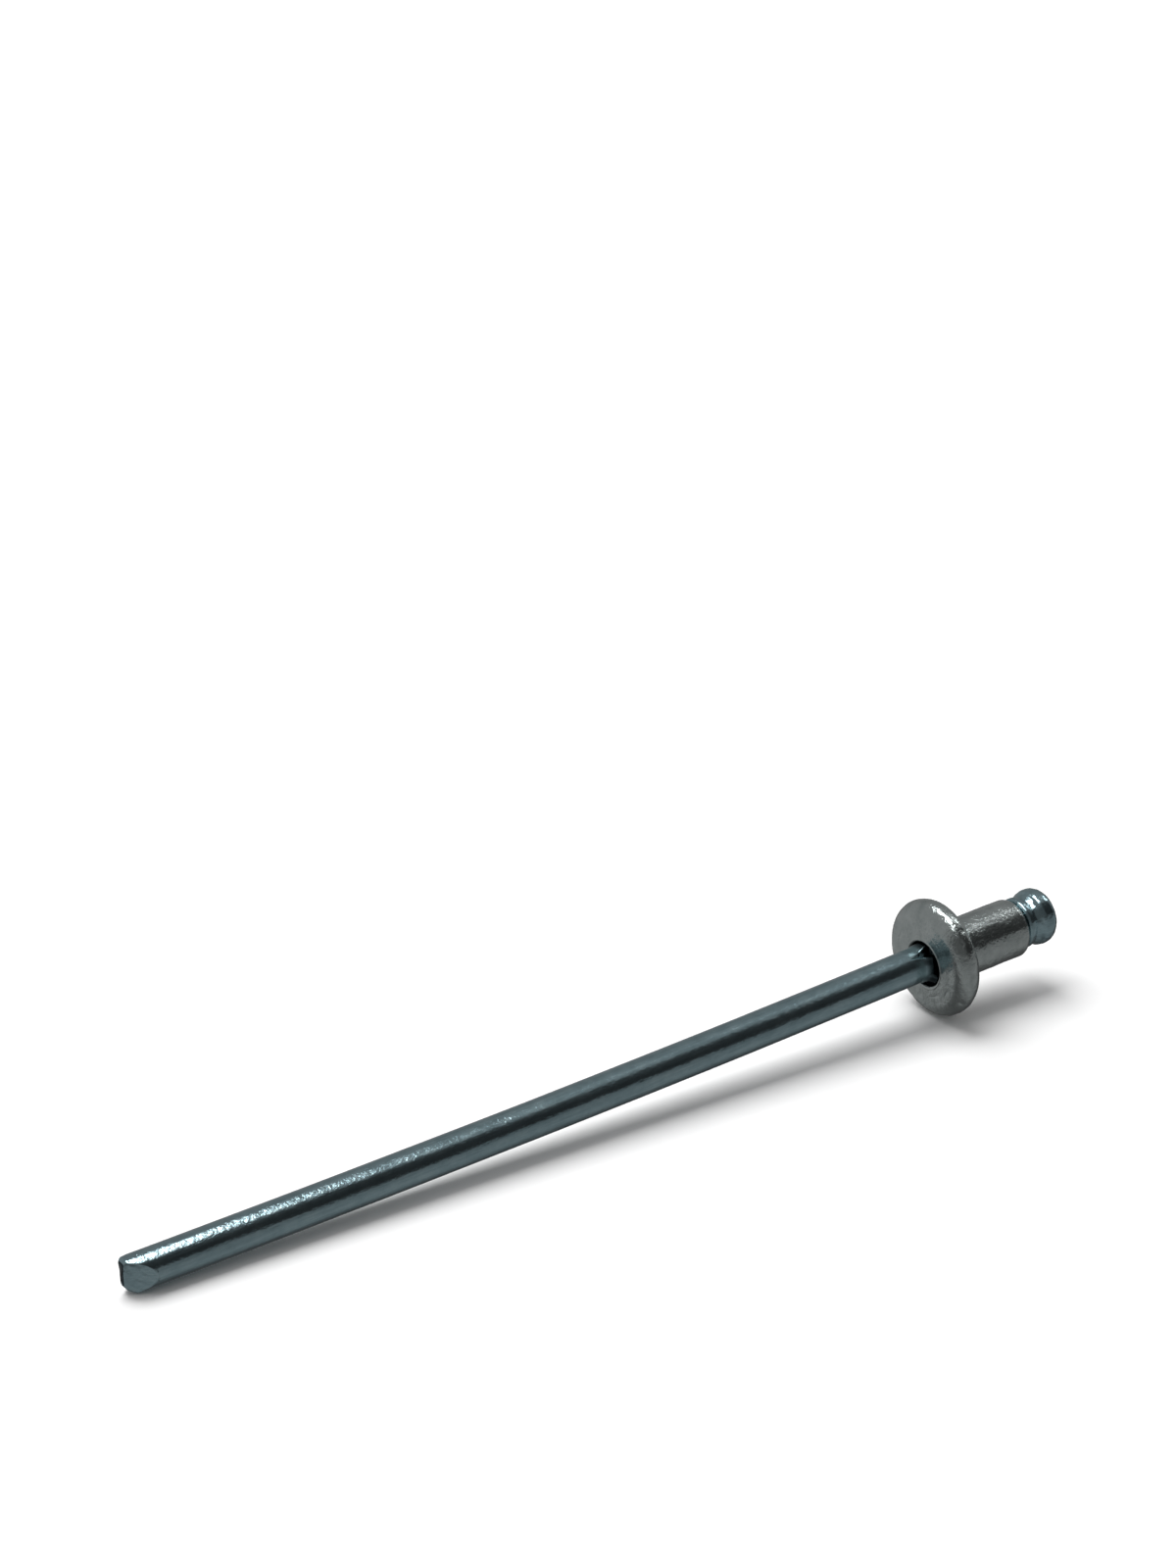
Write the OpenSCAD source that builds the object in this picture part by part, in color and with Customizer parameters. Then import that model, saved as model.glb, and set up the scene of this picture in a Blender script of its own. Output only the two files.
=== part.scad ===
// Open-end blind rivet (pop rivet) with a domed flange, lying as it comes to rest on a flat surface.
// Millimetres, +Z up. The origin is on the rivet's own axis, in the plane of the flange's seat.
// The axis runs along +X, from the cut tail up to the mandrel head, and climbs by the resting tilt,
// because the rivet lies on the rim of its flange and on the end of its tail.
// Each piece is drawn along its own axis first: r is the distance from the axis, and z runs along it,
// with z = 0 at the flange's seat, +z towards the mandrel head and -z towards the tail.

/* [Rivet body] */
// Outside diameter of the shank
shank_d = 3.2; // [3.1:0.05:4.8]
// Length of the shank from the flange's seat to its open end
shank_len = 4.6; // [2.5:0.1:14]
// Corner radius at the open end of the shank
shank_end_round = 0.46; // [0.1:0.02:0.46]
// Diameter of the flange
flange_d = 6.45; // [5.8:0.05:9.6]
// Height of the flange, from its seat to the top of its crown
flange_h = 1.7; // [1:0.05:2]
// How far the crown of the flange rises above its rounded rim
crown_h = 0.1; // [0.05:0.01:0.2]
// Radius of the fillet where the shank leaves the flange's seat
seat_fillet = 0.1; // [0.05:0.01:0.2]
// Diameter of the mouth of the bore, in the face of the flange
mouth_d = 2.8; // [2.6:0.05:3.4]
// Depth over which the mouth narrows to the bore
mouth_depth = 0.95; // [0.5:0.05:1.2]
// Radius of the lip round the mouth
lip_round = 0.14; // [0.05:0.01:0.2]

/* [Mandrel] */
// Diameter of the mandrel's wire
wire_d = 1.95; // [1.6:0.05:2.1]
// Length of the tail, from its cut tip to the plane of the flange's crown
tail_len = 48.9; // [25:0.1:70]
// Radial gap between the wire and the bore
bore_gap = 0.12; // [0.05:0.01:0.15]
// Gap between the mandrel head's underside and the open end of the shank
head_gap = 0.02; // [0.01:0.01:0.1]
// Diameter of the mandrel head
head_d = 3.06; // [2.9:0.02:3.1]
// Length of the mandrel head beyond the shank
head_len = 1.95; // [1.8:0.05:2.6]
// Corner radius at the far end of the mandrel head
head_end_round = 0.6; // [0.3:0.05:0.8]
// Diameter of the collar between the shank and the flare of the head
collar_d = 2.74; // [2.7:0.02:2.8]
// Length of the collar
collar_len = 0.45; // [0.4:0.01:0.5]
// Diameter at the bottom of the shallow groove behind the collar
groove_d = 2.66; // [2.6:0.02:2.68]
// Width of the groove
groove_w = 0.1; // [0.05:0.01:0.15]
// Length of the head's button, beyond the groove and its flare
button_len = 1.15; // [1.1:0.05:1.25]
// Diameter at the break neck, inside the shank, where the wire snaps when the rivet is set
neck_d = 1.5; // [1.1:0.05:1.55]
// Width of the break neck
neck_w = 0.6; // [0.4:0.05:1]
// Distance from the open end of the shank to the middle of the break neck
neck_back = 1.2; // [0.6:0.05:1.5]

/* [Cut tail] */
// Length of each face of the chisel-shaped pinched end
chisel_len = 1.45; // [0.8:0.05:2]
// Width of the flat land left along the chisel's edge
chisel_land = 0.12; // [0.05:0.01:0.3]
// Corner radius at the tip
tip_round = 0.3; // [0.1:0.02:0.4]
// Lean of the chisel's edge from upright, towards the front (-Y)
chisel_turn = 0; // [-90:1:90]

/* [Pinch that holds the body on the wire] */
// Where the first pinch mark faces, from straight up towards the front (-Y)
pinch_turn = 32; // [0:1:180]
// Length of a pinch mark, from its point to the plane of the flange's crown
pinch_len = 1.2; // [0.6:0.05:1.5]
// Depth of a pinch mark at its deep end
pinch_depth = 0.2; // [0.1:0.01:0.25]
// Width of a pinch mark at its deep end
pinch_w = 0.66; // [0.4:0.02:0.8]
// How far the wire swells all round where it is pinched
swell = 0.02; // [0.01:0.005:0.04]
// How far each ear stands out of the wire
ear_h = 0.32; // [0.2:0.01:0.32]
// Width of an ear round the wire
ear_w = 0.5; // [0.3:0.02:0.6]

/* [Hidden] */
$fn = 96;
CUT = 0.5;          // how far a cutter runs past what it cuts
body_colour = [0.70, 0.71, 0.71];
wire_colour = [0.50, 0.57, 0.59];

shank_r = shank_d / 2;
wire_r = wire_d / 2;
bore_r = wire_r + bore_gap;
mouth_r = mouth_d / 2;
face_z = -flange_h;                          // top of the crown
tip_z = face_z - tail_len;                   // the cut tip of the tail

// The rim is a full half-round, and the crown is a large sphere that touches it inside.
rim_round = (flange_h - crown_h) / 2;
rim_r = flange_d / 2 - rim_round;            // centre circle of the rim's half-round
crown_r = rim_round + (rim_r * rim_r + crown_h * crown_h) / (2 * crown_h);
crown_end_r = rim_r * crown_r / (crown_r - rim_round);

head_z = shank_len + head_gap;               // underside of the collar
head_end_z = head_z + head_len;
button_z = head_end_z - button_len;          // underside of the button
collar_round = 0.2;
button_round = 0.25;
root_round = 0.05;                           // small corner on the collar's underside

// A flare leaves the groove as a cone that touches the button's lower corner.
flare_foot = [groove_d / 2, head_z + collar_len + groove_w];
button_corner = [head_d / 2 - button_round, button_z + button_round];
flare_line = flare_foot - button_corner;
flare_turn = atan2(flare_line[1], flare_line[0]) + acos(button_round / norm(flare_line));
flare_end = button_corner + button_round * [cos(flare_turn), sin(flare_turn)];

// Resting tilt: the rim's half-round and the tip's corner round both touch the surface.
rest_run = -rim_round - tip_z - tip_round;
rest_rise = rim_r - wire_r + tip_round;
rest_tilt = atan(rest_rise / rest_run)
    + asin((rim_round - tip_round) / norm([rest_run, rest_rise]));

// An ear climbs over this length before the crown's plane, and falls inside the mouth.
ear_ramp = 0.5;
ear_top = 0.2;
ear_fall = 0.3;
swell_margin = 0.05;                         // the swelling runs this far past the marks and the ears
neck_slope = neck_w / 2 / (wire_r - neck_d / 2);

// Lays a piece drawn along +Z down along +X at the resting tilt. Up is then -X of the drawing.
module lay_down() {
    rotate([0, 90 - rest_tilt, 0]) children();
}

// Turns what faces +X in the drawing to face a given angle, from straight up towards the front.
module facing(angle) {
    rotate([0, 0, 180 + angle]) children();
}

// Half-section, from the axis out to radius, with both outer corners rounded.
module round_band(radius, low_z, high_z, low_round, high_round) {
    translate([0, low_z]) square([radius - low_round, low_round]);
    translate([radius - low_round, low_z + low_round]) circle(r = low_round);
    translate([0, low_z + low_round]) square([radius, high_z - low_z - low_round - high_round]);
    translate([0, high_z - high_round]) square([radius - high_round, high_round]);
    translate([radius - high_round, high_z - high_round]) circle(r = high_round);
}

module flange_section() {
    translate([0, -2 * rim_round]) square([rim_r, 2 * rim_round]);
    translate([rim_r, -rim_round]) circle(r = rim_round);
    intersection() {
        translate([0, face_z + crown_r]) circle(r = crown_r, $fn = 720);
        translate([0, face_z]) square([crown_end_r, rim_round]);
    }
}

// The bore, with a mouth that narrows in a cone and has a rounded lip.
module bore_section() {
    translate([0, face_z - CUT]) square([bore_r, flange_h + shank_len + 2 * CUT]);
    polygon([
        [0, face_z - CUT],
        [mouth_r + lip_round, face_z - CUT],
        [mouth_r + lip_round, face_z + lip_round],
        [mouth_r, face_z + lip_round],
        [bore_r, face_z + mouth_depth],
        [0, face_z + mouth_depth]
    ]);
}

module lip_section() {
    translate([mouth_r + lip_round, face_z + lip_round]) circle(r = lip_round);
}

module rivet_body() {
    color(body_colour) lay_down() rotate_extrude() {
        difference() {
            union() {
                flange_section();
                round_band(shank_r, -rim_round, shank_len, 0.01, shank_end_round);
                difference() {
                    translate([0, -rim_round]) square([shank_r + seat_fillet, rim_round + seat_fillet]);
                    translate([shank_r + seat_fillet, seat_fillet]) circle(r = seat_fillet);
                }
            }
            bore_section();
        }
        lip_section();
    }
}

module head_section() {
    round_band(collar_d / 2, head_z, head_z + collar_len, root_round, collar_round);
    polygon([
        [0, head_z + root_round],
        [groove_d / 2, head_z + root_round],
        flare_foot,
        flare_end,
        [0, flare_end[1]]
    ]);
    round_band(head_d / 2, button_z, head_end_z, button_round, head_end_round);
}

module wire_section() {
    difference() {
        union() {
            round_band(wire_r, tip_z, head_z + root_round, tip_round, 0.01);
            polygon([
                [0, face_z - pinch_len - swell_margin],
                [wire_r, face_z - pinch_len - swell_margin],
                [wire_r + swell, face_z],
                [wire_r, face_z + ear_top + ear_fall + swell_margin],
                [0, face_z + ear_top + ear_fall + swell_margin]
            ]);
        }
        translate([0, shank_len - neck_back]) polygon([
            [neck_d / 2, 0],
            [wire_r + CUT, (wire_r + CUT - neck_d / 2) * neck_slope],
            [wire_r + CUT, -(wire_r + CUT - neck_d / 2) * neck_slope]
        ]);
    }
}

// Cuts one sloping face of the chisel, on the side that faces +X in the drawing.
module chisel_cutter() {
    slope = chisel_len / (wire_r - chisel_land / 2);
    reach = wire_r + CUT;
    rotate([90, 0, 0]) linear_extrude(height = 4 * wire_r, center = true) polygon([
        [chisel_land / 2, tip_z - CUT],
        [chisel_land / 2, tip_z],
        [reach, tip_z + slope * (reach - chisel_land / 2)],
        [reach, tip_z - CUT]
    ]);
}

// A V groove that deepens from a point on the wire's surface towards the bore.
module pinch_cutter() {
    lean = atan(pinch_depth / pinch_len);
    depth_end = pinch_len / cos(lean) + ear_top;
    side = pinch_w / 2 / pinch_depth;        // half-width of the V for each unit of height
    translate([wire_r, 0, face_z - pinch_len]) rotate([0, -lean, 0])
        linear_extrude(height = depth_end) polygon([
            [0, 0],
            [CUT, side * CUT],
            [CUT, -side * CUT]
        ]);
}

// An ear of metal that the pinch raises, seated in the mouth of the bore.
module ear() {
    root_r = wire_r - 0.15;
    top_r = wire_r + ear_h;
    rotate([90, 0, 0]) linear_extrude(height = ear_w, center = true) polygon([
        [root_r, face_z - ear_ramp - 0.2],
        [wire_r, face_z - ear_ramp],
        [top_r - 0.04, face_z - 0.06],
        [top_r, face_z + 0.04],
        [top_r - 0.05, face_z + ear_top],
        [wire_r, face_z + ear_top + ear_fall],
        [root_r, face_z + ear_top + ear_fall]
    ]);
}

module mandrel() {
    color(wire_colour) lay_down() {
        difference() {
            rotate_extrude() {
                wire_section();
                head_section();
            }
            for (side = [0, 180]) {
                facing(90 + chisel_turn + side) chisel_cutter();
                facing(pinch_turn + side) pinch_cutter();
            }
        }
        for (side = [90, 270]) facing(pinch_turn + side) ear();
    }
}

rivet_body();
mandrel();
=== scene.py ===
import math

import bpy
import numpy as np
from mathutils import Matrix, Vector


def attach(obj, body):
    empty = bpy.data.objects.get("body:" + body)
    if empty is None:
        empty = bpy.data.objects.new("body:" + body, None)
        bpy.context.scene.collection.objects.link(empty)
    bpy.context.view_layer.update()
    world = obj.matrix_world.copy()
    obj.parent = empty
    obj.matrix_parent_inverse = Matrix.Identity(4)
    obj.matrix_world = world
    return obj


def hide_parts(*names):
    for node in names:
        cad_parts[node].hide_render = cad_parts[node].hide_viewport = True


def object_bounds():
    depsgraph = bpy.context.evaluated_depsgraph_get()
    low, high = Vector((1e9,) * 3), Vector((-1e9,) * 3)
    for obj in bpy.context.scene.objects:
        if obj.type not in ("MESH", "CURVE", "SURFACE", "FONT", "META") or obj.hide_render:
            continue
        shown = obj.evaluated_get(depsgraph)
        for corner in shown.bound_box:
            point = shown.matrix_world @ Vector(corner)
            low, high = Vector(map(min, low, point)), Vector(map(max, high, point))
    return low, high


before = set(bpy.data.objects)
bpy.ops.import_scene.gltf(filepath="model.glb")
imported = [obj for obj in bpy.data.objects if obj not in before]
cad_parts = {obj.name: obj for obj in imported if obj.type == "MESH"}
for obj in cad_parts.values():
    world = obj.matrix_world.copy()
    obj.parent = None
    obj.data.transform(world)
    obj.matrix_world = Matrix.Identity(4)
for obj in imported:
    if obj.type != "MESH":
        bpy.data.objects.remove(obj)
CAD_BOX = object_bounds()

MM = 0.001

# ---------------------------------------------------------------- driving sizes, in mm
SHANK_R = 1.6
SHANK_LEN = 4.6
SHANK_END_ROUND = 0.46
FLANGE_R = 3.225
FLANGE_H = 1.7
CROWN_H = 0.1
SEAT_FILLET = 0.1
MOUTH_R = 1.25
MOUTH_FRONT = 0.11       # the mouth sits this far forward of the wire
MOUTH_DEPTH = 0.95
LIP_ROUND = 0.14
WIRE_R = 0.975
TAIL_LEN = 48.9
BORE_R = WIRE_R + 0.12
HEAD_GAP = 0.02
HEAD_R = 1.53
HEAD_LEN = 1.95
HEAD_END_ROUND = 0.6
COLLAR_R = 1.37
COLLAR_LEN = 0.45
GROOVE_R = 1.33
GROOVE_W = 0.1
BUTTON_LEN = 1.15
NECK_R = 0.75
NECK_BACK = 1.2
CHISEL_LEN = 1.45
CHISEL_LAND = 0.2
TIP_ROUND = 0.3
TIP_LOW_ROUND = 0.8      # the tip's lower corner is worn rounder
CHISEL_FACES = 90.0      # degrees round the wire from straight up, towards the front
PINCH_FACES = 32.0
PINCH_LEN = 1.2
PINCH_DEPTH = 0.2
PINCH_W = 0.66
EAR_H = 0.24
BACK_EAR_H = 0.03
BOW = 0.247              # how far the wire sags below its chord

FACE_Z = -FLANGE_H
TIP_Z = FACE_Z - TAIL_LEN
RIM_ROUND = (FLANGE_H - CROWN_H) / 2
RIM_R = FLANGE_R - RIM_ROUND
CROWN_R = RIM_ROUND + (RIM_R ** 2 + CROWN_H ** 2) / (2 * CROWN_H)
CROWN_END_R = RIM_R * CROWN_R / (CROWN_R - RIM_ROUND)
HEAD_Z = SHANK_LEN + HEAD_GAP
HEAD_END_Z = HEAD_Z + HEAD_LEN

SWELL = 0.08             # how far the wire swells where it is pinched
NECK_HALF = 0.3          # half the width of the break neck
RIDGE_BEFORE = 0.085     # metal raised beside a pinch mark, on its side at the smaller angle
RIDGE_AFTER = 0.045      # and on the other side
RIDGE_W = 0.09
MOUTH_DOWN = 0.8         # the mouth also sits lower, by this share of MOUTH_FRONT
MOUTH_BLEND_R = 2.2      # inside this radius the crown starts to follow the mouth
MOUTH_BLEND = 0.8        # and this much further in it follows it fully
HEAD_RISE = 3.6          # past the crown the wire climbs this many times BOW for each tail length
NICK_AT = 0.45           # a nick in the land, this far above the wire's middle
NICK_W = 0.13
NICK_DEPTH = 0.13
SHEAR_WAVES = 0.012      # how uneven the sheared faces are
LAND_WIDENS = 0.16       # how much wider the land is at its upper end, on each side
SHEAR_LIP = 0.03         # a lip of metal pushed up where the front sheared face ends
SHARP_ANGLE = 38.0       # degrees between faces past which an edge looks sharp

# Dents in the body: z along the axis, degrees round it from the top towards the front, width, depth.
DENTS = [
    (-1.25, 118, 0.16, 0.035), (-0.8, 84, 0.13, 0.03), (-1.0, 52, 0.2, 0.03), (-0.6, 40, 0.14, 0.03),
    (-1.2, 20, 0.18, 0.03), (-1.3, 205, 0.2, 0.03), (-0.9, 260, 0.15, 0.03), (-1.1, 330, 0.17, 0.03),
    (1.2, 62, 0.2, 0.02), (2.4, 48, 0.25, 0.02), (3.3, 75, 0.2, 0.02), (2.0, 190, 0.22, 0.02),
]
# Scuffs on the crown: degrees round the axis, distance from it, length, depth.
SCUFFS = [
    (150, 1.9, 0.35, 0.02), (120, 2.2, 0.25, 0.015), (35, 1.9, 0.3, 0.015),
    (290, 2.1, 0.4, 0.02), (235, 1.8, 0.3, 0.015),
]
SCUFF_W = 0.05

# The rivet rests on its rim and on its tip.
REST_RUN = -RIM_ROUND - TIP_Z - TIP_ROUND
REST_RISE = RIM_R - WIRE_R + TIP_ROUND
ROUND_DROP = (RIM_ROUND - TIP_ROUND) / math.hypot(REST_RUN, REST_RISE)
TILT = math.atan(REST_RISE / REST_RUN) + math.asin(ROUND_DROP)

AXIS = np.array([math.cos(TILT), 0.0, math.sin(TILT)])
UP = np.array([-math.sin(TILT), 0.0, math.cos(TILT)])
FRONT = np.array([0.0, -1.0, 0.0])
FLOOR_Z = CAD_BOX[0][2]


# ---------------------------------------------------------------- small helpers
def arc(cz, cr, radius, start, end, count):
    """Points (z, r) of an arc. Angle 0 faces outwards and 90 faces +z."""
    turns = np.radians(np.linspace(start, end, count))
    return [(cz + radius * math.sin(t), cr + radius * math.cos(t)) for t in turns]


def line(z0, r0, z1, r1, count):
    """Points between two ends, both ends left out."""
    steps = np.linspace(0, 1, count + 2)[1:-1]
    return [(z0 + (z1 - z0) * s, r0 + (r1 - r0) * s) for s in steps]


def waves(points, size, count, seed):
    """Smooth seeded noise with waves of about that size in mm. It is mostly within 1, and up to about 3."""
    rng = np.random.default_rng(seed)
    total = np.zeros(points.shape[:-1])
    for _ in range(count):
        way = rng.normal(size=3)
        way *= 2 * math.pi / (size * rng.uniform(0.6, 1.7)) / np.linalg.norm(way)
        total += np.sin(points @ way + rng.uniform(0, 2 * math.pi))
    return total / math.sqrt(count)


def angle_from(phi, centre):
    """Signed angle in radians from a centre given in degrees."""
    return (phi - math.radians(centre) + math.pi) % (2 * math.pi) - math.pi


def bump_shape(value, half, soft):
    """1 inside +-half, falling to 0 over soft."""
    s = np.clip((half + soft - np.abs(value)) / soft, 0, 1)
    return s * s * (3 - 2 * s)


def mesh_object(name, verts, faces):
    mesh = bpy.data.meshes.new(name)
    mesh.from_pydata((np.asarray(verts) * MM).tolist(), [], faces)
    mesh.validate()
    mesh.shade_smooth()
    mesh.set_sharp_from_angle(angle=math.radians(SHARP_ANGLE))
    obj = bpy.data.objects.new(name, mesh)
    bpy.context.scene.collection.objects.link(obj)
    return obj


def grid_faces(rings, segs, closed):
    faces = []
    last = rings if closed else rings - 1
    for i in range(last):
        a = i * segs
        b = (i + 1) % rings * segs
        for j in range(segs):
            k = (j + 1) % segs
            faces.append((a + j, a + k, b + k, b + j))
    return faces


def place(z, side, front):
    """From drawing coordinates, along the axis, up and front, to the shared frame."""
    return z[..., None] * AXIS + side[..., None] * UP + front[..., None] * FRONT


# ---------------------------------------------------------------- rivet body
def body_outline():
    lip = arc(FACE_Z + LIP_ROUND, MOUTH_R + LIP_ROUND, LIP_ROUND, 180, 270, 12)
    crown_start = MOUTH_R + LIP_ROUND
    crown = []
    for r in np.linspace(crown_start + 0.05, CROWN_END_R, 22):
        crown.append((FACE_Z + CROWN_R - math.sqrt(CROWN_R ** 2 - r ** 2), r))
    rim = arc(-RIM_ROUND, RIM_R, RIM_ROUND, -84, 90, 52)
    seat = line(0, RIM_R, 0, SHANK_R + SEAT_FILLET, 8)
    fillet = arc(SEAT_FILLET, SHANK_R + SEAT_FILLET, SEAT_FILLET, 270, 180, 8)
    wall = line(SEAT_FILLET, SHANK_R, SHANK_LEN - SHANK_END_ROUND, SHANK_R, 34)
    end = arc(SHANK_LEN - SHANK_END_ROUND, SHANK_R - SHANK_END_ROUND, SHANK_END_ROUND, 0, 90, 18)
    foot_z = FACE_Z + MOUTH_DEPTH
    bore = [(SHANK_LEN - 0.01, BORE_R)] + line(SHANK_LEN, BORE_R, foot_z, BORE_R, 12)
    mouth = [(foot_z, BORE_R)] + line(foot_z, BORE_R, FACE_Z + LIP_ROUND, MOUTH_R, 10)
    return lip + crown + rim[1:] + seat + fillet + wall + end + bore + mouth


def build_body(segs=256):
    outline = np.array(body_outline())
    phi = np.linspace(0, 2 * math.pi, segs, endpoint=False)
    z = np.repeat(outline[:, :1], segs, 1)
    r = np.repeat(outline[:, 1:], segs, 1)
    p = np.stack([z, r * np.cos(phi), r * np.sin(phi)], -1)
    # Ripples and dents fade out towards the bore.
    outer = np.clip((r - BORE_R - 0.12) / 0.2, 0, 1)
    ripple = 0.006 * waves(p, 1.5, 14, 3) + 0.0035 * waves(p, 0.6, 18, 4)
    r = r + outer * ripple
    z = z + outer * 0.5 * (0.006 * waves(p, 1.3, 14, 5) + 0.003 * waves(p, 0.5, 18, 6)) * (z < -0.02)
    for at_z, at_phi, wide, deep in DENTS:
        away = ((z - at_z) / wide) ** 2 + (angle_from(phi, at_phi) * r / wide) ** 2
        r = r - outer * deep * np.exp(-away)
        z = z + outer * deep * np.exp(-away) * (z < -RIM_ROUND)
    for turn, at_r, wide, deep in SCUFFS:
        away = ((r - at_r) / SCUFF_W) ** 2 + (angle_from(phi, turn) * at_r / wide) ** 2
        z = z + deep * np.exp(-away) * (z < FACE_Z + 0.3)
    near_mouth = np.clip((MOUTH_BLEND_R - r) / MOUTH_BLEND, 0, 1)
    shift = MOUTH_FRONT * near_mouth * np.clip((FACE_Z + MOUTH_DEPTH - z) / MOUTH_DEPTH, 0, 1)
    verts = place(z, r * np.cos(phi) - MOUTH_DOWN * shift, r * np.sin(phi) + shift)
    faces = grid_faces(len(outline), segs, True)
    obj = mesh_object("rivet_body_skin", verts.reshape(-1, 3), faces)
    # Faces inside the bore take the second material, which is painted shade.
    in_bore = (outline[:, 1] < MOUTH_R - 0.02) & (outline[:, 0] > FACE_Z + LIP_ROUND)
    obj.data.polygons.foreach_set("material_index", np.repeat(in_bore, segs).astype(np.int32))
    return obj


# ---------------------------------------------------------------- mandrel
def curve(points, steps):
    """A smooth line through points (z, r), from the first and without the last."""
    p = np.array([points[0]] + points + [points[-1]], float)
    out = []
    for i in range(1, len(p) - 2):
        for t in np.linspace(0, 1, steps, endpoint=False):
            out.append(0.5 * (2 * p[i] + (p[i + 1] - p[i - 1]) * t
                              + (2 * p[i - 1] - 5 * p[i] + 4 * p[i + 1] - p[i + 2]) * t ** 2
                              + (3 * p[i] - p[i - 1] - 3 * p[i + 1] + p[i + 2]) * t ** 3))
    return [tuple(q) for q in out]


def head_outline():
    """A collar, a soft waist and a button that is rounded over, as cold heading leaves them."""
    waist_z = HEAD_Z + COLLAR_LEN + GROOVE_W / 2
    button_z = HEAD_END_Z - BUTTON_LEN
    out = [(HEAD_Z, BORE_R - 0.02)]
    out += curve([(HEAD_Z, BORE_R + 0.03), (HEAD_Z + 0.01, COLLAR_R - 0.08), (HEAD_Z + 0.07, COLLAR_R - 0.01),
                  (HEAD_Z + 0.2, COLLAR_R + 0.02), (HEAD_Z + 0.36, COLLAR_R), (waist_z, GROOVE_R - 0.01),
                  (waist_z + 0.12, GROOVE_R + 0.01), (button_z + 0.02, HEAD_R - 0.12),
                  (button_z + 0.14, HEAD_R - 0.05), (button_z + 0.28, HEAD_R - 0.01),
                  (button_z + 0.40, HEAD_R)], 7)
    end_z = HEAD_END_Z - HEAD_END_ROUND
    out += line(button_z + 0.40, HEAD_R, end_z, HEAD_R, 4)
    out += arc(end_z, HEAD_R - HEAD_END_ROUND, HEAD_END_ROUND, 0, 90, 30)
    out += line(HEAD_END_Z, HEAD_R - HEAD_END_ROUND, HEAD_END_Z, 0, 8)
    return out


def mandrel_outline():
    tip = arc(TIP_Z + TIP_ROUND, WIRE_R - TIP_ROUND, TIP_ROUND, -90, 0, 14)
    tip += line(TIP_Z + TIP_ROUND, WIRE_R, TIP_Z + CHISEL_LEN + 0.25, WIRE_R, 92)
    rod = line(TIP_Z + CHISEL_LEN + 0.25, WIRE_R, FACE_Z - PINCH_LEN - 0.3, WIRE_R, 58)
    pinch = line(FACE_Z - PINCH_LEN - 0.3, WIRE_R, FACE_Z + 0.9, WIRE_R, 78)
    neck_z = SHANK_LEN - NECK_BACK
    neck = [(neck_z - NECK_HALF, WIRE_R), (neck_z, NECK_R), (neck_z + NECK_HALF, WIRE_R)]
    inside = neck + [(HEAD_Z - 0.01, WIRE_R)]
    return tip + rod + pinch + inside + head_outline()


def pinch_offset(z, phi):
    """Radial change of the wire where it is pinched: a swelling, two V grooves with ridges, and two ears."""
    change = np.zeros_like(z)
    start = FACE_Z - PINCH_LEN
    run = np.clip((z - start) / PINCH_LEN, 0, 1.15)
    fade = np.clip((FACE_Z + 0.28 - z) / 0.06, 0, 1)
    change += SWELL * np.clip((z - FACE_Z + 0.5) / 0.5, 0, 1) * np.clip((FACE_Z + 0.85 - z) / 0.3, 0, 1)
    slope = PINCH_DEPTH / (PINCH_W / 2)
    for side in (0, 180):
        across = angle_from(phi, PINCH_FACES + side) * WIRE_R
        depth = PINCH_DEPTH * run
        groove = np.clip(depth - np.abs(across) * slope, 0, None)
        edge = np.abs(across) - depth / slope
        ridge = np.where(across < 0, RIDGE_BEFORE, RIDGE_AFTER) * run * np.exp(-(edge / RIDGE_W) ** 2)
        change += (ridge - groove) * fade
    for side in (90, 270):
        across = angle_from(phi, PINCH_FACES + side) * WIRE_R
        up = np.clip((z - (FACE_Z - 0.3)) / 0.4, 0, 1)
        down = np.clip((FACE_Z + 0.5 - z) / 0.3, 0, 1)
        height = EAR_H if side == 90 else BACK_EAR_H
        change += height * up ** 1.6 * down * bump_shape(across, 0.14, 0.2)
    return change


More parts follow.
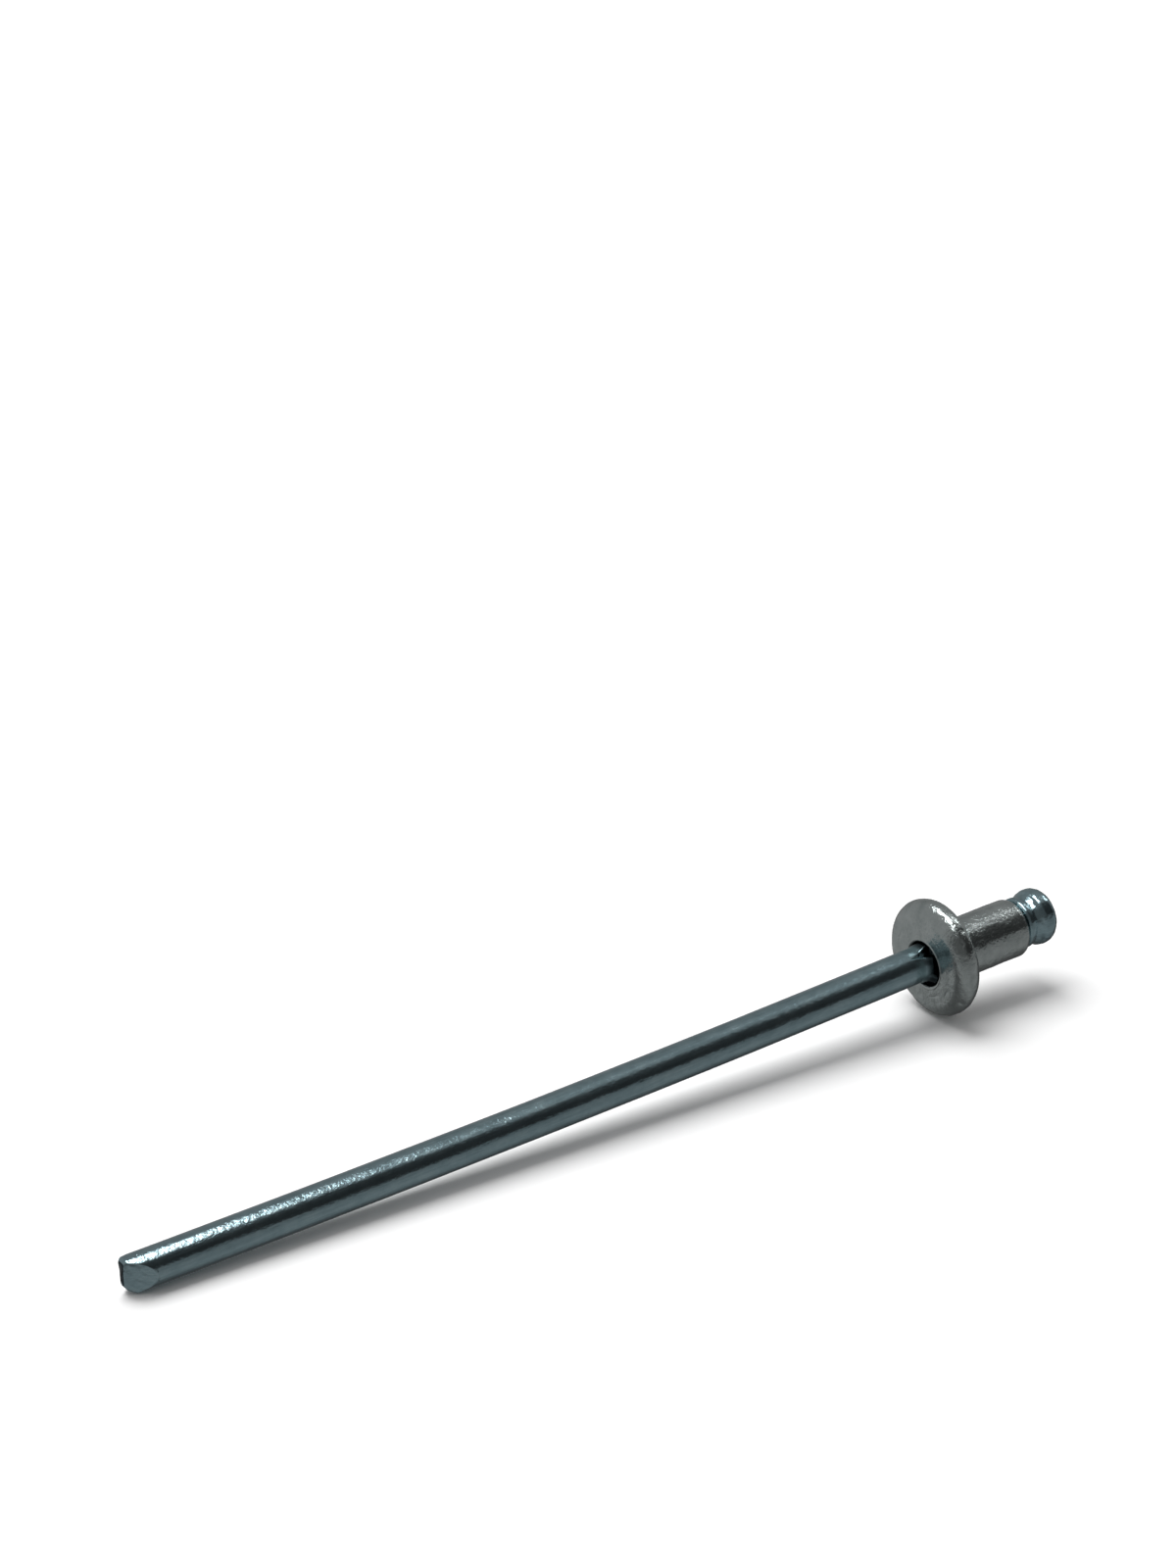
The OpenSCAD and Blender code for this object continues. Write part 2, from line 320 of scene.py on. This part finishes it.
def cut_chisel(z, up, front, p):
    """Moves what lies outside two sloping planes in onto them, and rounds the tip's lower corner."""
    rise = (WIRE_R - CHISEL_LAND / 2) / CHISEL_LEN
    facing = math.radians(CHISEL_FACES)
    out = front * math.sin(facing) + up * math.cos(facing)
    edge = up * math.sin(facing) - front * math.cos(facing)
    low = np.clip(-edge - (WIRE_R - TIP_LOW_ROUND), 0, TIP_LOW_ROUND * 0.995)
    lift = TIP_LOW_ROUND - np.sqrt(TIP_LOW_ROUND ** 2 - low ** 2)
    z = z + lift * np.clip(1 - (z - TIP_Z) / CHISEL_LEN, 0, 1)
    nick = np.exp(-((edge - NICK_AT) / NICK_W) ** 2) * np.clip(1 - (z - TIP_Z) / 0.5, 0, 1)
    z = z + NICK_DEPTH * nick

    # The land widens towards the top, and the sheared faces are a little uneven.
    limit = CHISEL_LAND / 2 + np.clip(z - TIP_Z, 0, None) * rise
    widen = LAND_WIDENS * np.clip(edge / WIRE_R, 0, 1) ** 2
    limit = limit + widen * np.clip(1 - (z - TIP_Z) / CHISEL_LEN, 0, 1)
    limit = limit + SHEAR_WAVES * waves(p, 0.5, 16, 15) * np.clip((z - TIP_Z) / 0.3, 0, 1)

    # A soft minimum leaves the edge of each face slightly rounded.
    soft = 0.012
    gap = np.abs(out) - limit
    cut = np.where(gap > -6 * soft, soft * np.log1p(np.exp(np.clip(gap / soft, -30, 30))), 0)
    near = z < TIP_Z + CHISEL_LEN + 0.2
    faced = np.where(gap < 30 * soft, np.abs(out) - cut, np.minimum(np.abs(out), limit))
    kept = np.where(near, faced, np.abs(out))
    out = np.sign(out) * np.clip(kept, 0, None)
    up = out * math.cos(facing) + edge * math.sin(facing)
    front = out * math.sin(facing) - edge * math.cos(facing)
    return z, up, front


def bow_at(z):
    """How far up the bow puts the wire: below its chord along the tail, and above it past the crown."""
    u = (z + FLANGE_H + TAIL_LEN) / TAIL_LEN
    return np.where(u <= 1, -4 * BOW * u * (1 - u), HEAD_RISE * BOW * (u - 1))


def build_mandrel(segs=256):
    outline = np.array(mandrel_outline())
    phi = np.linspace(0, 2 * math.pi, segs, endpoint=False)
    z = np.repeat(outline[:, :1], segs, 1)
    r = np.repeat(outline[:, 1:], segs, 1)
    ph = np.broadcast_to(phi, z.shape)
    p = np.stack([z, r * np.cos(ph), r * np.sin(ph)], -1)

    on_wire = (z < FACE_Z + 0.95) & (r > 0.3)
    r = r + np.where(on_wire, pinch_offset(z, ph), 0)
    streaks = p * np.array([0.05, 1.0, 1.0])
    drawn = 0.0035 * waves(streaks, 0.7, 16, 11) * np.clip((z - TIP_Z) / 2, 0, 1)
    r = r + np.where(z < FACE_Z - 0.1, drawn, 0)
    on_head = np.clip((z - HEAD_Z - 0.05) / 0.2, 0, 1) * np.clip((r - 0.1) / 0.5, 0, 1)
    r = r + on_head * (0.009 * waves(p, 1.1, 14, 12) + 0.006 * waves(p, 0.36, 18, 13))

    lip = np.exp(-((z - TIP_Z - CHISEL_LEN - 0.07) / 0.035) ** 2)
    r = r + SHEAR_LIP * lip * bump_shape(angle_from(ph, CHISEL_FACES) * WIRE_R, 0.15, 0.2)
    up = r * np.cos(ph)
    front = r * np.sin(ph)

    z, up, front = cut_chisel(z, up, front, p)
    up = up + bow_at(z)

    verts = place(z, up, front).reshape(-1, 3)
    count = len(outline)
    faces = grid_faces(count, segs, False)
    start = place(np.array([TIP_Z]), np.array([0.0]), np.array([0.0]))
    verts = np.vstack([verts, start])
    faces += [(len(verts) - 1, (j + 1) % segs, j) for j in range(segs)]
    end_z = np.array([HEAD_END_Z])
    verts = np.vstack([verts, place(end_z, bow_at(end_z), np.array([0.0]))])
    base = (count - 1) * segs
    faces += [(len(verts) - 1, base + j, base + (j + 1) % segs) for j in range(segs)]
    return mesh_object("mandrel_skin", verts, faces)


# ---------------------------------------------------------------- materials
class Nodes:
    """Short calls for building a node tree."""

    def __init__(self, tree):
        self.tree = tree

    def add(self, kind, **values):
        node = self.tree.nodes.new(kind)
        for name, value in values.items():
            setattr(node, name, value)
        return node

    def link(self, a, b):
        self.tree.links.new(a, b)

    def drawing_space(self, scale):
        """Object coordinates turned so that x runs along the rivet, scaled from metres."""
        coords = self.add("ShaderNodeTexCoord")
        turn = self.add("ShaderNodeMapping", vector_type="POINT")
        turn.inputs["Rotation"].default_value = (0, TILT, 0)
        stretch = self.add("ShaderNodeVectorMath", operation="MULTIPLY")
        stretch.inputs[1].default_value = [1000 * s for s in scale]
        self.link(coords.outputs["Object"], turn.inputs["Vector"])
        self.link(turn.outputs["Vector"], stretch.inputs[0])
        return stretch.outputs["Vector"]

    def noise(self, scale, detail, rough, distortion=0.0):
        tex = self.add("ShaderNodeTexNoise")
        tex.inputs["Scale"].default_value = 1.0
        tex.inputs["Detail"].default_value = detail
        tex.inputs["Roughness"].default_value = rough
        tex.inputs["Distortion"].default_value = distortion
        self.link(self.drawing_space(scale), tex.inputs["Vector"])
        return tex.outputs["Fac"]

    def ramp(self, value, stops):
        node = self.add("ShaderNodeValToRGB")
        while len(node.color_ramp.elements) > 1:
            node.color_ramp.elements.remove(node.color_ramp.elements[-1])
        for n, (at, colour) in enumerate(stops):
            element = node.color_ramp.elements[0] if n == 0 else node.color_ramp.elements.new(at)
            element.position = at
            element.color = (*colour, 1) if isinstance(colour, tuple) else (colour, colour, colour, 1)
        self.link(value, node.inputs["Fac"])
        return node.outputs["Color"]

    def maths(self, operation, a, b):
        node = self.add("ShaderNodeMath", operation=operation)
        for socket, value in zip(node.inputs, (a, b)):
            if isinstance(value, (int, float)):
                socket.default_value = value
            else:
                self.link(value, socket)
        return node.outputs[0]

    def bump(self, height, strength, distance, normal=None):
        node = self.add("ShaderNodeBump")
        node.inputs["Strength"].default_value = strength
        node.inputs["Distance"].default_value = distance
        self.link(height, node.inputs["Height"])
        if normal:
            self.link(normal, node.inputs["Normal"])
        return node.outputs["Normal"]


def new_material(name):
    material = bpy.data.materials.new(name)
    material.use_nodes = True
    nodes = Nodes(material.node_tree)
    shader = material.node_tree.nodes["Principled BSDF"]
    return material, nodes, shader


def zinc():
    material, n, shader = new_material("zinc_plated_wire")
    shader.inputs["Metallic"].default_value = 1.0
    streak = n.noise((0.25, 7.0, 7.0), 4.0, 0.6)
    mottle = n.noise((1.2, 1.6, 1.6), 4.0, 0.55)
    fine = n.noise((3.0, 24.0, 24.0), 3.0, 0.6)
    mix = n.maths("ADD", n.maths("MULTIPLY", streak, 0.5), n.maths("MULTIPLY", mottle, 0.5))
    # The wire is painted darker where it enters the bore, from just outside the face on: painted shade in and
    # by the bore. It is also darker at the very tip.
    place_on = n.add("ShaderNodeSeparateXYZ")
    n.link(n.drawing_space((1, 1, 1)), place_on.inputs[0])
    enters = n.add("ShaderNodeMapRange", interpolation_type="SMOOTHSTEP")
    enters.inputs["From Min"].default_value = FACE_Z - 0.55
    enters.inputs["From Max"].default_value = FACE_Z - 0.1
    n.link(place_on.outputs["X"], enters.inputs["Value"])
    leaves = n.maths("LESS_THAN", place_on.outputs["X"], SHANK_LEN - 0.1)
    in_bore = n.maths("MULTIPLY", enters.outputs["Result"], leaves)
    at_tip = n.maths("LESS_THAN", place_on.outputs["X"], TIP_Z + 0.06)
    shade_and_tip_mask = n.maths("MAXIMUM", in_bore, at_tip)
    # Dark colours for the painted shade by the bore, also used at the tip.
    shade_and_tip_colour = n.ramp(mottle, [(0.3, (0.03, 0.045, 0.055)), (0.7, (0.08, 0.11, 0.12))])
    shade_and_tip_mix = n.add("ShaderNodeMix", data_type="RGBA")
    plating = [(0.30, (0.32, 0.455, 0.50)), (0.5, (0.40, 0.555, 0.605)), (0.7, (0.49, 0.645, 0.69))]
    n.link(n.ramp(mix, plating), shade_and_tip_mix.inputs[6])
    n.link(shade_and_tip_colour, shade_and_tip_mix.inputs[7])
    n.link(shade_and_tip_mask, shade_and_tip_mix.inputs[0])
    n.link(shade_and_tip_mix.outputs[2], shader.inputs["Base Color"])
    n.link(n.ramp(mix, [(0.3, 0.08), (0.7, 0.16)]), shader.inputs["Roughness"])
    flecks = n.noise((2.6, 4.0, 4.0), 3.0, 0.65)
    normal = n.bump(streak, 0.4, 0.000015)
    normal = n.bump(fine, 0.3, 0.000004, normal)
    normal = n.bump(flecks, 0.6, 0.00003, normal)
    normal = n.bump(mottle, 0.3, 0.000015, normal)
    n.link(normal, shader.inputs["Normal"])
    return material


def aluminium():
    material, n, shader = new_material("satin_aluminium")
    shader.inputs["Metallic"].default_value = 1.0
    mottle = n.noise((1.3, 1.3, 1.3), 5.0, 0.6)
    grain = n.noise((9.0, 9.0, 9.0), 4.0, 0.6)
    pits = n.noise((2.4, 2.4, 2.4), 3.0, 0.6, 0.4)
    greys = [(0.3, (0.49, 0.55, 0.545)), (0.5, (0.58, 0.64, 0.635)), (0.7, (0.66, 0.72, 0.715))]
    n.link(n.ramp(mottle, greys), shader.inputs["Base Color"])
    n.link(n.ramp(pits, [(0.35, 0.10), (0.65, 0.20)]), shader.inputs["Roughness"])
    normal = n.bump(grain, 0.22, 0.000006)
    normal = n.bump(pits, 0.7, 0.00004, normal)
    knocks = n.ramp(n.noise((4.5, 4.5, 4.5), 3.0, 0.6), [(0.42, 0.0), (0.54, 1.0)])
    normal = n.bump(knocks, 0.6, 0.000008, normal)
    n.link(normal, shader.inputs["Normal"])
    return material


def bore_skin():
    """The drawn bore, painted dark as painted shade inside it."""
    material, n, shader = new_material("bore_painted_shade")
    shader.inputs["Metallic"].default_value = 0.5
    shade_noise = n.noise((4.0, 4.0, 4.0), 3.0, 0.5)
    darks = [(0.3, (0.010, 0.013, 0.022)), (0.7, (0.035, 0.042, 0.060))]
    n.link(n.ramp(shade_noise, darks), shader.inputs["Base Color"])
    n.link(n.ramp(shade_noise, [(0.3, 0.45), (0.7, 0.6)]), shader.inputs["Roughness"])
    n.link(n.bump(shade_noise, 0.3, 0.00001), shader.inputs["Normal"])
    return material


def floor_material():
    material, _, shader = new_material("pale_floor")
    shader.inputs["Base Color"].default_value = (0.9, 0.9, 0.9, 1)
    shader.inputs["Roughness"].default_value = 0.9
    shader.inputs["Specular IOR Level"].default_value = 0.0
    return material


# ---------------------------------------------------------------- pieces
body = build_body()
body.data.materials.append(aluminium())
# The second material paints shade inside the bore.
body.data.materials.append(bore_skin())
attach(body, "root")
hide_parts("rivet_body")

mandrel = build_mandrel()
mandrel.data.materials.append(zinc())
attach(mandrel, "root")
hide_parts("mandrel")

# ---------------------------------------------------------------- stage
floor_mesh = bpy.data.meshes.new("floor")
FLOOR_HALF = 1.5
corners = [(x * FLOOR_HALF, y * FLOOR_HALF, FLOOR_Z) for x, y in ((-1, -1), (1, -1), (1, 1), (-1, 1))]
floor_mesh.from_pydata(corners, [], [(0, 1, 2, 3)])
floor = bpy.data.objects.new("floor", floor_mesh)
bpy.context.scene.collection.objects.link(floor)
floor_mesh.materials.append(floor_material())
floor.visible_glossy = False


def area_light(name, place_m, target_m, size, radiance):
    data = bpy.data.lights.new(name, "AREA")
    data.shape = "RECTANGLE"
    data.size, data.size_y = size
    data.energy = radiance * math.pi * size[0] * size[1]
    obj = bpy.data.objects.new(name, data)
    bpy.context.scene.collection.objects.link(obj)
    obj.location = place_m
    aim = Vector(target_m) - Vector(place_m)
    obj.rotation_euler = aim.to_track_quat("-Z", "Y").to_euler()
    return obj


# The key lights the floor and casts the main shadow. The others only show as reflections.
MIDDLE = (-0.022, 0.0, 0.0)
key = area_light("key", (-0.035, 0.135, 0.28), MIDDLE, (0.24, 0.24), 5.5)
key.visible_glossy = False
softbox = area_light("softbox", (0.011, 0.038, 0.26), (0.011, 0.0, 0.0), (0.094, 0.19), 5.6)
softbox.visible_diffuse = False
strip = area_light("strip", (0.1622, 0.03, 0.26), (0.1622, 0.03, 0.0), (0.005, 0.07), 3.2)
strip.visible_diffuse = False
side = area_light("side", (0.235, 0.03, 0.20), (0.0, 0.0, 0.0), (0.05, 0.10), 2.6)
side.visible_diffuse = False

# The studio's walls, as grey levels round the X axis: 0 is behind, 0.25 below, 0.5 in front, 0.75 above.
world = bpy.data.worlds.new("studio")
bpy.context.scene.world = world
world.use_nodes = True
w = Nodes(world.node_tree)
world.node_tree.nodes.clear()
direction = w.add("ShaderNodeTexCoord")
split = w.add("ShaderNodeSeparateXYZ")
w.link(direction.outputs["Generated"], split.inputs[0])
turn = w.maths("ARCTAN2", split.outputs["Z"], w.maths("MULTIPLY", split.outputs["Y"], -1.0))
turn = w.maths("ADD", w.maths("MULTIPLY", turn, 1 / (2 * math.pi)), 0.5)
front_walls = w.ramp(turn, [
    (0.0, 0.24), (0.06, 0.20), (0.12, 0.08), (0.20, 0.06), (0.256, 0.09), (0.30, 0.18),
    (0.364, 0.23), (0.454, 0.20), (0.515, 0.16), (0.545, 0.03), (0.60, 0.028), (0.66, 0.045),
    (0.69, 0.08), (0.72, 0.26), (0.80, 0.27), (0.87, 0.24), (0.93, 0.20), (1.0, 0.24)])
end_walls = w.ramp(turn, [
    (0.0, 0.27), (0.10, 0.28), (0.14, 0.14), (0.20, 0.08), (0.30, 0.10), (0.38, 0.24),
    (0.47, 0.22), (0.545, 0.09), (0.64, 0.09), (0.72, 0.24), (1.0, 0.27)])
along = w.ramp(split.outputs["X"], [(0.02, 0.0), (0.30, 1.0)])
walls_mix = w.add("ShaderNodeMix", data_type="RGBA")
w.link(along, walls_mix.inputs[0])
w.link(end_walls, walls_mix.inputs[6])
w.link(front_walls, walls_mix.inputs[7])
walls = walls_mix.outputs[2]
path = w.add("ShaderNodeLightPath")
room = w.add("ShaderNodeBackground")
w.link(walls, room.inputs["Color"])
dome = w.add("ShaderNodeBackground")
sky = [(0.5, 0.10), (0.62, 0.20), (0.75, 0.57), (0.88, 0.85), (1.0, 0.85)]
w.link(w.ramp(turn, sky), dome.inputs["Color"])
seen = w.add("ShaderNodeBackground")
seen.inputs["Color"].default_value = (0.93, 0.93, 0.93, 1)
lit = w.add("ShaderNodeMixShader")
w.link(path.outputs["Is Diffuse Ray"], lit.inputs[0])
w.link(room.outputs[0], lit.inputs[1])
w.link(dome.outputs[0], lit.inputs[2])
mixer = w.add("ShaderNodeMixShader")
w.link(path.outputs["Is Camera Ray"], mixer.inputs[0])
w.link(lit.outputs[0], mixer.inputs[1])
w.link(seen.outputs[0], mixer.inputs[2])
output = w.add("ShaderNodeOutputWorld")
w.link(mixer.outputs[0], output.inputs["Surface"])

bpy.context.scene.view_settings.view_transform = "Standard"

# ---------------------------------------------------------------- camera
YAW, PITCH, ROLL = 35.109, 25.920, -0.106
CAMERA_AT = (-0.147875, -0.177224, 0.121681)
LENS_MM = 112.709
look = Vector((math.sin(math.radians(YAW)) * math.cos(math.radians(PITCH)),
               math.cos(math.radians(YAW)) * math.cos(math.radians(PITCH)),
               -math.sin(math.radians(PITCH))))
right = Vector((math.cos(math.radians(YAW)), -math.sin(math.radians(YAW)), 0))
down = look.cross(right)
roll = math.radians(ROLL)
right2 = math.cos(roll) * right + math.sin(roll) * down
down2 = -math.sin(roll) * right + math.cos(roll) * down
camera_data = bpy.data.cameras.new("camera")
camera_data.lens = LENS_MM
camera_data.sensor_width = 36.0
camera_data.clip_start = 0.01
camera = bpy.data.objects.new("camera", camera_data)
bpy.context.scene.collection.objects.link(camera)
turned = Matrix((right2, -down2, -look)).transposed().to_4x4()
camera.matrix_world = Matrix.Translation(CAMERA_AT) @ turned
bpy.context.scene.camera = camera
